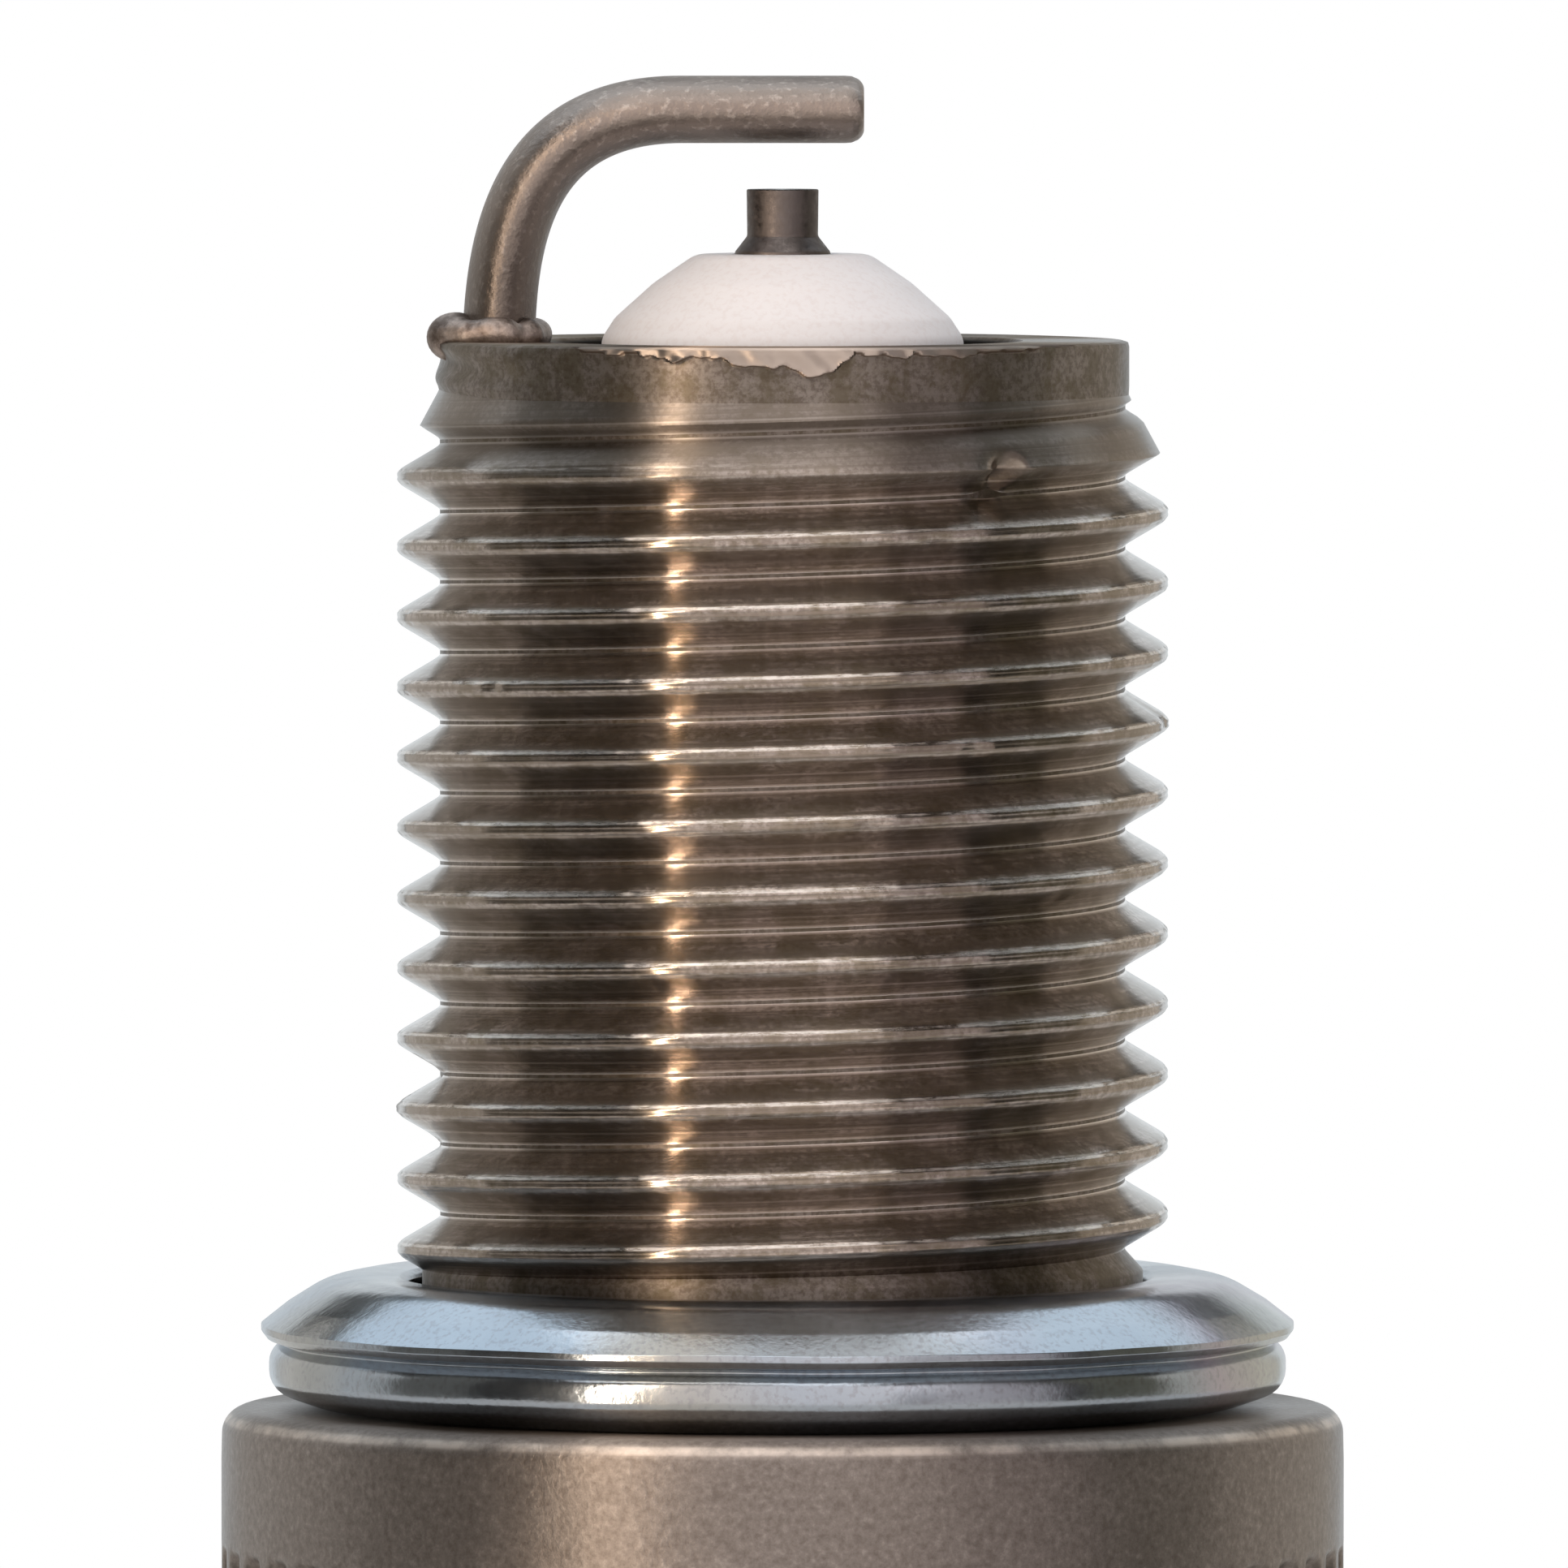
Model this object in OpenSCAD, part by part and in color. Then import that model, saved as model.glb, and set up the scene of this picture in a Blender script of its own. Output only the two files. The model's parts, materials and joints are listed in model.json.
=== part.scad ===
// Spark plug, M14 x 1.25, flat gasket seat, firing end up.
// Z = 0 is the seat face of the metal shell, on the axis of the thread.
// The firing end points along +Z, the terminal along -Z, and the leg of the
// ground electrode stands on the -X side. Units are millimetres.

/* [Thread] */
// Diameter over the thread crests
thread_d = 13.72; // [13.6:0.02:13.84]
// Pitch of the thread
thread_pitch = 1.25; // [1.2:0.05:1.3]
// Radial depth of the thread
thread_depth = 0.76; // [0.7:0.02:0.8]
// Seat face to the end of the shell
reach = 19; // [18:0.5:21]

/* [Shell] */
// Diameter of the collar behind the gasket
collar_d = 20; // [19.5:0.1:20.4]
// Height of the smooth band of the collar
collar_band = 2.4; // [2:0.1:3]
// Height of the knurled band
knurl_h = 3.6; // [3:0.1:4.5]
// Number of grooves round the knurled band
knurl_count = 54; // [36:2:60]
// Wrench size across the flats
hex_af = 20.8; // [20.4:0.1:21]
// Height of the hexagon
hex_h = 8.5; // [8:0.5:10]
// Diameter of the bore at the firing end
front_bore_d = 8.4; // [8.2:0.1:8.6]

/* [Firing end] */
// How far the insulator nose stands out of the shell
nose_out = 1.54; // [1:0.02:2]
// Diameter of the nose where it leaves the shell
nose_d = 6.46; // [6:0.02:6.8]
// Diameter of the centre electrode's tip
tip_d = 1.28; // [1:0.02:1.5]
// How far the tip stands out of the nose
tip_out = 1.15; // [0.9:0.05:1.3]
// Spark gap
gap = 0.82; // [0.7:0.02:1.1]
// Width of the ground electrode strip
strap_w = 2.6; // [2.2:0.1:2.8]
// Thickness of the strip at its foot
strap_t = 1.3; // [1.2:0.02:1.4]
// Thickness of the strip at its tip
strap_tip_t = 1.2; // [1.1:0.02:1.3]

/* [Terminal end] */
// Seat face to the end of the terminal nut
terminal_l = 53.2; // [52:0.2:54]
// Diameter of the terminal nut's head
terminal_d = 6.4; // [6.2:0.05:6.5]
// Diameter of the ribbed insulator
insulator_d = 10.4; // [10:0.1:10.6]
// Number of ribs
rib_count = 5; // [4:1:6]
// Distance from rib to rib
rib_pitch = 3.3; // [3:0.1:3.4]

/* [Hidden] */
$fn = 96;

// Thread: the profile repeats every pitch
thread_r = thread_d / 2;
root_r = thread_r - thread_depth;
crest_land = 0.2;
root_land = 0.22;
pilot_l = 0.8;
first_crest_z = 3.2;
ridge_count = floor((reach - pilot_l - first_crest_z - 0.1) / thread_pitch) + 1;
lead_in_slope = 0.54;
end_chamfer = 0.3;
neck_r = root_r + 0.25;
neck_h = 2.3;

// Collar: edge of the seat, knurl grooves and the plain groove below them
collar_r = collar_d / 2;
seat_edge = 0.4;
seat_edge_mid = 0.12;
knurl_cut_r = 0.48;
knurl_cut_out = 0.12;
groove_depth = 0.5;
groove_chamfer = 0.3;
groove_h = 0.6;

// Gasket: the fold is a round bead of the same sheet as the top
gasket_r_in = 6.65;
gasket_rim_r = 9.15;
gasket_h = 2.5;
sheet_t = 0.3;
gasket_top_drops = [
    [7.9, 0.12], [8.5, 0.4], [8.9, 0.68], [gasket_rim_r, 1], [gasket_rim_r, 1.12], [8.95, 1.2]
];
gasket_inside_drops = [[8, 0.9], [7.6, 0.55], [gasket_r_in, sheet_t]];
fold_inner_r = 6.9;
fold_top_angle = 50;
fold_r = 0.64;
fold_centre = [8.4, fold_r + 0.06];

// Inside of the shell and outside of the insulator
front_bore_r = front_bore_d / 2;
rear_bore_r = 4.9;
ledge_z = 3.4;
ledge_slope = 0.86;
cavity_r = 6.4;
cavity_top = -5.2;
cavity_taper = 1.3;
cut_over = 1;
fit_gap = 0.1;
hex_top = -(collar_band + knurl_h + 1.2);
hex_bottom = hex_top - hex_h;
hex_chamfer = 0.9;
hex_chamfer_in = 0.1;
hex_chamfer_out = 1.7;
waist_r = 7.6;
waist_slope_h = 0.6;
crimp_r = 8.1;
crimp_h = 0.9;
crimp_slope_h = 0.3;
lip_z = -18.2;
lip_t = 1;
lip_shoulder = [0.7, 0.7];
lip_flat = 1.8;
lip_r = insulator_d / 2 + 0.2;
flange_r = 6.25;
flange_top = -5.6;
flange_bottom = -12.2;
insulator_r = insulator_d / 2;
insulator_end = -44;
rib_depth = 0.65;
rib_start = -24.5;
nose_top = reach + nose_out;
nose_r = nose_d / 2;
nose_drops = [[1.54, 0], [1.95, 0.2], [2.3, 0.5], [2.94, 1.1], [nose_r - 0.03, 1.4], [nose_r, 1.8]];
nose_root = [3.7, ledge_z + 3];
shoulder_r = 3.85;
washer_t = 0.35;
washer_gap = 0.01;
washer_r_in = front_bore_r + fit_gap / 2;
washer_r_out = rear_bore_r - fit_gap / 2;
flange_rise = 1.2;
flange_fall = 1.05;
rib_half = 0.75;
rib_groove_half = 0.35;
head_edge = [0.15, 1.2];
head_end_r = 3.5;
seal_bore_r = 1.95;
electrode_step = 2;

// Centre electrode
tip_r = tip_d / 2;
tip_z = nose_top + tip_out;
electrode_r = 1.15;
electrode_gap = 0.03;
electrode_taper_top = reach - 0.65;
electrode_taper_h = 0.3;
electrode_head_r = seal_bore_r - 0.12;
electrode_head_end = electrode_step - 0.9;
electrode_foot_r = 1.1;
electrode_foot_top = electrode_step - 1.2;
electrode_end = 0.3;
tip_shank_r = 0.86;
tip_cone_h = 0.25;
core_r = 0.6;
core_tip_r = 0.4;
core_top = reach - 1.6;
core_round = [0.15, 0.7];

// Packing between shell and insulator head
packing_r = (cavity_r + insulator_r) / 2;
packing_gap = 0.02;
wire_r = (cavity_r - insulator_r) / 2 - packing_gap;
packing_reach = 0.65;
front_wire_z = flange_bottom - 1.35;
rear_wire_z = lip_z + wire_r + packing_gap;

// Conductive column inside the insulator
column_r = seal_bore_r - packing_gap;
front_seal_end = -3.2;
resistor_end = -12.7;
rear_seal_end = -17.6;
stud_flange_t = 0.9;
stud_flange_r = 3;
stud_end = -terminal_l + 1.5;
stud_thread_r = 1.98;
stud_thread_chamfer = 0.4;
stud_shank_r = 1.7;
stud_tip_r = 1.3;
stud_tip_z = -14.2;
stud_tip_chamfer = [0.2, 0.3];
anchor_z = [-15.2, -16.2];
anchor_depth = 0.15;

// Terminal nut: base flange, waist and head
nut_base = insulator_end - stud_flange_t;
nut_bore_r = 2.06;
nut_bore_chamfer = 0.34;
nut_flange_r = 3.7;
nut_edge = 0.3;
nut_flange_h = 1.3;
nut_waist_r = 2.8;
nut_waist_top = nut_base - 2;
nut_waist_end = nut_base - 3.3;
nut_head_top = nut_base - 3.8;
nut_head_r = terminal_d / 2;
nut_head_chamfer = [0.6, 0.7];

// Ground electrode: centre line of the bend as a cubic curve, in X and Z
leg_x = -5.05;
strap_z = tip_z + gap + strap_tip_t / 2;
strap_tip_x = 1.45;
bend = [[leg_x, reach], [leg_x, reach + 1.98], [-4.57, strap_z], [-1.8, strap_z]];
bend_steps = 20;
tip_edge = 0.25;
tip_edge_low = 0.2;

// Weld flash round the foot of the strip
weld_r = 0.9;
weld_sink = 0.25;
weld_half_w = 1.1;
weld_fn = 32;

// Points of an arc, with angles in degrees
function arc(centre, r, from, to, steps = 12) =
    [for (i = [0:steps]) let (a = from + (to - from) * i / steps) centre + r * [cos(a), sin(a)]];

// Points given as [radius, drop below the height top]
function dropped(points, top) = [for (p = points) [p[0], top - p[1]]];

function curve(p, t) =
    pow(1 - t, 3) * p[0] + 3 * pow(1 - t, 2) * t * p[1] + 3 * (1 - t) * t * t * p[2] + pow(t, 3) * p[3];

function heading(p, t) =
    let (d = pow(1 - t, 2) * (p[1] - p[0]) + 2 * (1 - t) * t * (p[2] - p[1]) + t * t * (p[3] - p[2]))
    d / norm(d);

// A point beside the bend: side is 1 for the outer face and -1 for the inner face
function strap_point(t, side) =
    let (h = heading(bend, t), w = strap_t + (strap_tip_t - strap_t) * t)
    curve(bend, t) + side * w / 2 * [-h[1], h[0]];

// Thread profile as [radius, z] pairs from the firing end down: one ridge per pitch,
// with the first ridges cut down by the lead-in
function thread_outline() = [
    for (k = [ridge_count - 1:-1:0])
        let (z = first_crest_z + k * thread_pitch)
        let (top = min(thread_r, root_r + (reach - pilot_l - z) * lead_in_slope))
        each [
            [root_r, z + (thread_pitch - root_land) / 2],
            [top, z + crest_land / 2],
            [top, z - crest_land / 2],
            [root_r, z - (thread_pitch - root_land) / 2]
        ]
];

module ring(r_in, r_out, low, high) {
    rotate_extrude()
        translate([r_in, low])
            square([r_out - r_in, high - low]);
}

module wire_ring(r, wire, z) {
    rotate_extrude()
        translate([r, z])
            circle(wire);
}

// Everything of the shell that is turned on a lathe
module shell_turned() {
    rotate_extrude()
        polygon(concat(
            [[0, reach], [root_r - end_chamfer, reach], [root_r, reach - end_chamfer]],
            thread_outline(),
            [
                [neck_r, neck_h], [neck_r, 0], [collar_r - seat_edge, 0],
                [collar_r - seat_edge_mid, -seat_edge_mid], [collar_r, -seat_edge],
                [collar_r, hex_top + groove_h + groove_chamfer],
                [collar_r - groove_depth, hex_top + groove_h],
                [collar_r - groove_depth, hex_bottom], [waist_r, hex_bottom - waist_slope_h],
                [waist_r, lip_z + crimp_h + crimp_slope_h], [crimp_r, lip_z + crimp_h],
                [crimp_r, lip_z + fit_gap], [crimp_r - lip_shoulder[0], lip_z - lip_shoulder[1]],
                [crimp_r - lip_flat, lip_z - lip_t], [0, lip_z - lip_t]
            ]
        ));
}

module shell_hex() {
    intersection() {
        translate([0, 0, hex_bottom])
            cylinder(h = hex_h, d = hex_af / cos(30), $fn = 6);
        rotate_extrude()
            polygon([
                [0, hex_top], [hex_af / 2 - hex_chamfer_in, hex_top],
                [hex_af / 2 + hex_chamfer_out, hex_top - hex_chamfer],
                [hex_af / 2 + hex_chamfer_out, hex_bottom + hex_chamfer],
                [hex_af / 2 - hex_chamfer_in, hex_bottom], [0, hex_bottom]
            ]);
    }
}

module knurl_cuts() {
    for (i = [0:knurl_count - 1])
        rotate(i * 360 / knurl_count)
            translate([collar_r + knurl_cut_out, 0, -(collar_band + knurl_h)])
                cylinder(h = knurl_h, r = knurl_cut_r, $fn = 4);
}

module shell_bore() {
    rotate_extrude()
        polygon([
            [0, reach + cut_over], [front_bore_r, reach + cut_over],
            [front_bore_r, ledge_z + (rear_bore_r - front_bore_r) * ledge_slope],
            [rear_bore_r, ledge_z], [rear_bore_r, cavity_top + cavity_taper],
            [cavity_r, cavity_top], [cavity_r, lip_z], [lip_r, lip_z],
            [lip_r, lip_z - lip_t - cut_over], [0, lip_z - lip_t - cut_over]
        ]);
}

module shell() {
    color([0.55, 0.52, 0.48])
        difference() {
            union() {
                shell_turned();
                shell_hex();
            }
            shell_bore();
            knurl_cuts();
        }
}

// Folded sheet ring: a coned top, a sharp rim, a rounded fold below it and a flat back.
// The fold is open towards the thread.
module gasket() {
    color([0.66, 0.7, 0.72])
        rotate_extrude()
            polygon(concat(
                [[gasket_r_in, gasket_h]],
                dropped(gasket_top_drops, gasket_h),
                arc(fold_centre, fold_r, fold_top_angle, -90),
                [
                    [fold_inner_r, fold_centre[1] - fold_r],
                    [fold_inner_r, fold_centre[1] - fold_r + sheet_t]
                ],
                arc(fold_centre, fold_r - sheet_t, -90, 90),
                dropped(gasket_inside_drops, gasket_h)
            ));
}

module strap_profile() {
    polygon(concat(
        [for (i = [0:bend_steps]) strap_point(i / bend_steps, 1)],
        [
            [strap_tip_x - tip_edge, strap_z + strap_tip_t / 2],
            [strap_tip_x, strap_z + strap_tip_t / 2 - tip_edge],
            [strap_tip_x, strap_z - strap_tip_t / 2 + tip_edge_low],
            [strap_tip_x - tip_edge_low, strap_z - strap_tip_t / 2]
        ],
        [for (i = [bend_steps:-1:0]) strap_point(i / bend_steps, -1)]
    ));
}

module ground_electrode() {
    color([0.5, 0.49, 0.47])
        translate([0, strap_w / 2, 0])
            rotate([90, 0, 0])
                linear_extrude(strap_w)
                    strap_profile();
}

// Metal squeezed out round the foot of the strip where it is welded on
module ground_weld() {
    color([0.45, 0.43, 0.4])
        difference() {
            intersection() {
                translate([leg_x, 0, reach - weld_sink])
                    hull()
                        for (y = [-weld_half_w, weld_half_w])
                            translate([0, y, 0])
                                sphere(r = weld_r, $fn = weld_fn);
                translate([leg_x - 2 * weld_r, -strap_w, reach])
                    cube([4 * weld_r, 2 * strap_w, weld_r]);
            }
            translate([leg_x - strap_t / 2, -strap_w / 2, reach - cut_over])
                cube([strap_t, strap_w, weld_r + 2 * cut_over]);
        }
}

module insulator_outline() {
    shoulder_z = ledge_z + (rear_bore_r - shoulder_r) * ledge_slope - washer_t;
    polygon(concat(
        [[0, nose_top]],
        dropped(nose_drops, nose_top),
        [
            nose_root, [shoulder_r, shoulder_z],
            [rear_bore_r - fit_gap, ledge_z + fit_gap * ledge_slope - washer_t],
            [rear_bore_r - fit_gap, flange_top + flange_rise], [flange_r, flange_top],
            [flange_r, flange_bottom], [insulator_r, flange_bottom - flange_fall]
        ],
        [
            for (i = [0:rib_count])
                let (z = rib_start - i * rib_pitch)
                each [
                    [insulator_r, z + rib_half], [insulator_r - rib_depth, z + rib_groove_half],
                    [insulator_r - rib_depth, z - rib_groove_half], [insulator_r, z - rib_half]
                ]
        ],
        [
            [insulator_r - head_edge[0], insulator_end + head_edge[1]],
            [head_end_r, insulator_end], [0, insulator_end]
        ]
    ));
}

module insulator() {
    color([0.93, 0.9, 0.86])
        difference() {
            rotate_extrude()
                insulator_outline();
            translate([0, 0, insulator_end - cut_over])
                cylinder(h = electrode_step - insulator_end + cut_over, r = seal_bore_r);
            translate([0, 0, electrode_step - cut_over / 2])
                cylinder(h = reach - electrode_step, r = electrode_r + electrode_gap);
            translate([0, 0, reach - cut_over])
                cylinder(h = nose_out + 2 * cut_over, r = tip_shank_r + electrode_gap);
        }
}

module core_outline() {
    polygon([
        [0, core_top], [core_tip_r, core_top - core_round[0]], [core_r, core_top - core_round[1]],
        [core_r, electrode_end], [0, electrode_end]
    ]);
}

module centre_electrode() {
    color([0.42, 0.41, 0.4])
        rotate_extrude()
            difference() {
                polygon([
                    [0, tip_z], [tip_r, tip_z], [tip_r, nose_top + tip_cone_h], [tip_shank_r, nose_top],
                    [tip_shank_r, electrode_taper_top],
                    [electrode_r, electrode_taper_top - electrode_taper_h],
                    [electrode_r, electrode_step], [electrode_head_r, electrode_step],
                    [electrode_head_r, electrode_head_end], [electrode_foot_r, electrode_foot_top],
                    [electrode_foot_r, electrode_end], [0, electrode_end]
                ]);
                core_outline();
            }
}

module centre_electrode_core() {
    color([0.72, 0.43, 0.28])
        rotate_extrude()
            core_outline();
}

// Ring on the ledge that the insulator's shoulder is pressed against
module seat_washer() {
    color([0.6, 0.58, 0.55])
        rotate_extrude()
            polygon([
                [washer_r_in, ledge_z + (rear_bore_r - washer_r_in) * ledge_slope - washer_gap],
                [washer_r_out, ledge_z + (rear_bore_r - washer_r_out) * ledge_slope - washer_gap],
                [washer_r_out, ledge_z + (rear_bore_r - washer_r_out) * ledge_slope - washer_t + washer_gap],
                [washer_r_in, ledge_z + (rear_bore_r - washer_r_in) * ledge_slope - washer_t + washer_gap]
            ]);
}

module front_seal_glass() {
    color([0.35, 0.3, 0.28])
        rotate_extrude()
            polygon([
                [0, electrode_end], [electrode_foot_r, electrode_end], [electrode_foot_r, electrode_foot_top],
                [electrode_head_r, electrode_head_end], [column_r, electrode_head_end],
                [column_r, front_seal_end], [0, front_seal_end]
            ]);
}

module resistor() {
    color([0.16, 0.16, 0.17])
        ring(0, column_r, resistor_end, front_seal_end);
}

module stud_outline() {
    polygon(concat(
        [
            [0, stud_tip_z], [stud_tip_r - stud_tip_chamfer[0], stud_tip_z],
            [stud_tip_r, stud_tip_z - stud_tip_chamfer[1]]
        ],
        [
            for (z = anchor_z)
                each [
                    [stud_tip_r, z], [stud_tip_r - anchor_depth, z - anchor_depth],
                    [stud_tip_r, z - 2 * anchor_depth]
                ]
        ],
        [
            [stud_tip_r, rear_seal_end], [stud_shank_r, rear_seal_end + stud_tip_r - stud_shank_r],
            [stud_shank_r, insulator_end], [stud_flange_r, insulator_end], [stud_flange_r, nut_base],
            [stud_thread_r, nut_base], [stud_thread_r, stud_end + stud_thread_chamfer],
            [stud_thread_r - stud_thread_chamfer, stud_end], [0, stud_end]
        ]
    ));
}

module rear_seal_glass() {
    color([0.35, 0.3, 0.28])
        difference() {
            ring(0, column_r, rear_seal_end, resistor_end);
            rotate_extrude()
                stud_outline();
        }
}

module terminal_stud() {
    color([0.7, 0.69, 0.66])
        rotate_extrude()
            stud_outline();
}

module front_wire_ring() {
    color([0.5, 0.48, 0.45])
        wire_ring(packing_r, wire_r, front_wire_z);
}

module talc_packing() {
    color([0.85, 0.84, 0.8])
        ring(
            insulator_r + packing_gap, cavity_r - packing_gap,
            rear_wire_z + packing_reach, front_wire_z - packing_reach
        );
}

module rear_wire_ring() {
    color([0.5, 0.48, 0.45])
        wire_ring(packing_r, wire_r, rear_wire_z);
}

// Removable nut with a waist that the plug cap's clip snaps into
module terminal_nut() {
    color([0.75, 0.74, 0.7])
        rotate_extrude()
            polygon([
                [nut_bore_r, nut_base], [nut_flange_r - nut_edge, nut_base],
                [nut_flange_r, nut_base - nut_edge], [nut_flange_r, nut_base - nut_flange_h],
                [nut_flange_r - nut_edge, nut_base - nut_flange_h - nut_edge],
                [nut_waist_r, nut_waist_top], [nut_waist_r, nut_waist_end], [nut_head_r, nut_head_top],
                [nut_head_r, -terminal_l + nut_head_chamfer[1]],
                [nut_head_r - nut_head_chamfer[0], -terminal_l],
                [nut_bore_r + nut_bore_chamfer, -terminal_l], [nut_bore_r, -terminal_l + nut_bore_chamfer]
            ]);
}

shell();
gasket();
ground_electrode();
ground_weld();
insulator();
centre_electrode();
centre_electrode_core();
seat_washer();
front_seal_glass();
resistor();
rear_seal_glass();
terminal_stud();
front_wire_ring();
talc_packing();
rear_wire_ring();
terminal_nut();
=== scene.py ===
"""Looks of a spark plug held by its thread, firing end up: shell with a rolled thread,
loose folded gasket, bent ground electrode, ceramic insulator and a removable terminal nut."""

import json
import math

import bpy
import numpy as np
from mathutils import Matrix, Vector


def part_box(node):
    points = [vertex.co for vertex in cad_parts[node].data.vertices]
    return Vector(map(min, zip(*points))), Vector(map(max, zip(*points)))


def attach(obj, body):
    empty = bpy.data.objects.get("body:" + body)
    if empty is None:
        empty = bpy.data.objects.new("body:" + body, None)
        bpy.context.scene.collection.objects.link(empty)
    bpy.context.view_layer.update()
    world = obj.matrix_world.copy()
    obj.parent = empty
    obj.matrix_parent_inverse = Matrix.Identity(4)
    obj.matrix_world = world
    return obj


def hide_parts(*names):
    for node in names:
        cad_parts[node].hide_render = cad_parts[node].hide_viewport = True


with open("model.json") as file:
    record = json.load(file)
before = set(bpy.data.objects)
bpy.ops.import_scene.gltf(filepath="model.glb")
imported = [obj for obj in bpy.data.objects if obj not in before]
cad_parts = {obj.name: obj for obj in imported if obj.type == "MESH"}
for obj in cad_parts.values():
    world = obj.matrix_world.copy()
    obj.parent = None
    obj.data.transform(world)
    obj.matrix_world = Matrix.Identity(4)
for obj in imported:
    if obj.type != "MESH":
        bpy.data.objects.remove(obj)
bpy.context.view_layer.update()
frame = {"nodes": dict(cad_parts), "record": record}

# ---------------------------------------------------------------------------------------------
# Shell, firing end: a steel tube, cold formed, turned and nickel plated, with a rolled M14 x 1.25
# right-hand thread. Its end face carries the ground electrode, and its rim has a smeared burr.
# ---------------------------------------------------------------------------------------------
MM = 0.001
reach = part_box("shell")[1][2] / MM
thread_r = 6.86
root_r = 6.1
pitch = 1.25
pilot_r = 6.16
neck_r = 6.42
bore_r = 4.2
edge_break = 0.08
crest_right_z = 3.45
lead_in_slope = 0.54


def filleted(corners, steps=4):
    """Section line through corners (r, z, fillet). Each corner with a fillet becomes an arc that
    touches both of its sides: its points turn evenly about the centre on the corner's bisector."""
    out = []
    for i, (r, z, fillet) in enumerate(corners):
        here = np.array([r, z], float)
        if fillet <= 0 or i in (0, len(corners) - 1):
            out.append(here)
            continue
        before = np.array(corners[i - 1][:2], float) - here
        after = np.array(corners[i + 1][:2], float) - here
        before /= np.linalg.norm(before)
        after /= np.linalg.norm(after)
        half = math.acos(np.clip(before @ after, -1, 1)) / 2
        reach_back = fillet / math.tan(half)
        centre = here + (before + after) / np.linalg.norm(before + after) * fillet / math.sin(half)
        first = here + before * reach_back - centre
        last = here + after * reach_back - centre
        a0, a1 = math.atan2(first[1], first[0]), math.atan2(last[1], last[0])
        turn = (a1 - a0 + math.pi) % (2 * math.pi) - math.pi
        for t in np.linspace(0, 1, steps + 1):
            out.append(centre + fillet * np.array([math.cos(a0 + turn * t), math.sin(a0 + turn * t)]))
    return np.array(out)


def add_grid(name, points, close_rows=False, sharp=40):
    """Mesh of a grid of points [row, column] in millimetres. Columns run round the piece and close
    on themselves. Rows either close too, or the first and last row are each closed by one face."""
    rows, columns = points.shape[:2]
    ids = np.arange(rows * columns).reshape(rows, columns)
    if close_rows:
        ids = np.vstack([ids, ids[:1]])
    ring = np.hstack([ids, ids[:, :1]])
    quads = np.stack([ring[:-1, :-1], ring[:-1, 1:], ring[1:, 1:], ring[1:, :-1]], -1).reshape(-1, 4)
    faces = quads.tolist()
    if not close_rows:
        faces += [ids[0, ::-1].tolist(), ids[-1].tolist()]
    mesh = bpy.data.meshes.new(name)
    mesh.from_pydata((points.reshape(-1, 3) * MM).tolist(), [], faces)
    mesh.validate()
    mesh.shade_smooth()
    mesh.set_sharp_from_angle(angle=math.radians(sharp))
    piece = bpy.data.objects.new(name, mesh)
    bpy.context.collection.objects.link(piece)
    return piece


def turned(section, columns, change=None):
    """Surface of revolution: the section point (r, z) at angle a goes to (r cos a, r sin a, z).
    change(a, r, z) may return other radii and heights for the whole grid."""
    a = np.linspace(0, 2 * math.pi, columns, endpoint=False)[None, :]
    r = np.repeat(section[:, :1], columns, 1)
    z = np.repeat(section[:, 1:], columns, 1)
    if change is not None:
        r, z = change(a, r, z)
    return np.stack([r * np.cos(a), r * np.sin(a), z], -1)


def smooth_step(x):
    """Rises smoothly from 0 to 1 as x goes from 0 to 1, and stays level outside."""
    x = np.clip(x, 0, 1)
    return x * x * (3 - 2 * x)


def bump_at(a, z, at, size):
    """Bell-shaped bump of height 1 round the place at = (angle in degrees, z), size = (mm, mm)."""
    away = (a - math.radians(at[0]) + math.pi) % (2 * math.pi) - math.pi
    return np.exp(-(away * thread_r / size[0]) ** 2 - ((z - at[1]) / size[1]) ** 2)


def mark(piece, name, values):
    """Stores one number for each vertex, from an array as large as the grid, for a material."""
    layer = piece.data.attributes.new(name, "FLOAT", "POINT")
    layer.data.foreach_set("value", np.ascontiguousarray(values, np.float32).ravel())


def burr_depth(a):
    """How far the burr reaches down from the rim: a sum of waves that dies away to both sides, one
    long tongue and two short ones."""
    turn = np.degrees(a) % 360
    front = smooth_step((turn - 228) / 22) * smooth_step((338 - turn) / 60)
    waves = 0.17 + 0.045 * np.sin(11 * a + 0.6) + 0.03 * np.sin(29 * a) + 0.025 * np.sin(67 * a + 2)
    waves = waves + 0.02 * np.sin(131 * a) * np.sin(17 * a)
    tongues = 0.26 * bump_at(a, 0, (276.0, 0), (0.5, 1)) + 0.12 * bump_at(a, 0, (269, 0), (0.9, 1))
    return front * waves + tongues + 0.07 * bump_at(a, 0, (252, 0), (0.45, 1))


def smeared_rim(a, r, z):
    """Pilot with its burr: above the burr's wavy lower edge the wall stands proud, most at that edge.
    The wall is also slightly out of round, with shallow ripples down its left side."""
    on_wall = smooth_step((r - 5.9) / 0.1)
    depth = burr_depth(a)
    up = z - (reach - depth)
    proud = smooth_step(up / 0.04 + 0.5) * on_wall * smooth_step(depth / 0.05)
    r = r + proud * (0.05 + 0.06 * np.exp(-np.clip(up, 0, None) / 0.12) + 0.02 * np.sin(53 * a + 9 * z))
    r = r + 0.012 * np.sin(7 * a + 1) * on_wall * (z > reach - 0.9)
    left = smooth_step(1 - np.abs(np.degrees(a) % 360 - 196) / 34) * on_wall * (z > 18.0)
    r = r + left * (0.09 * np.sin(9.5 * z + 3 * a) - 0.04)
    return r, z


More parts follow.
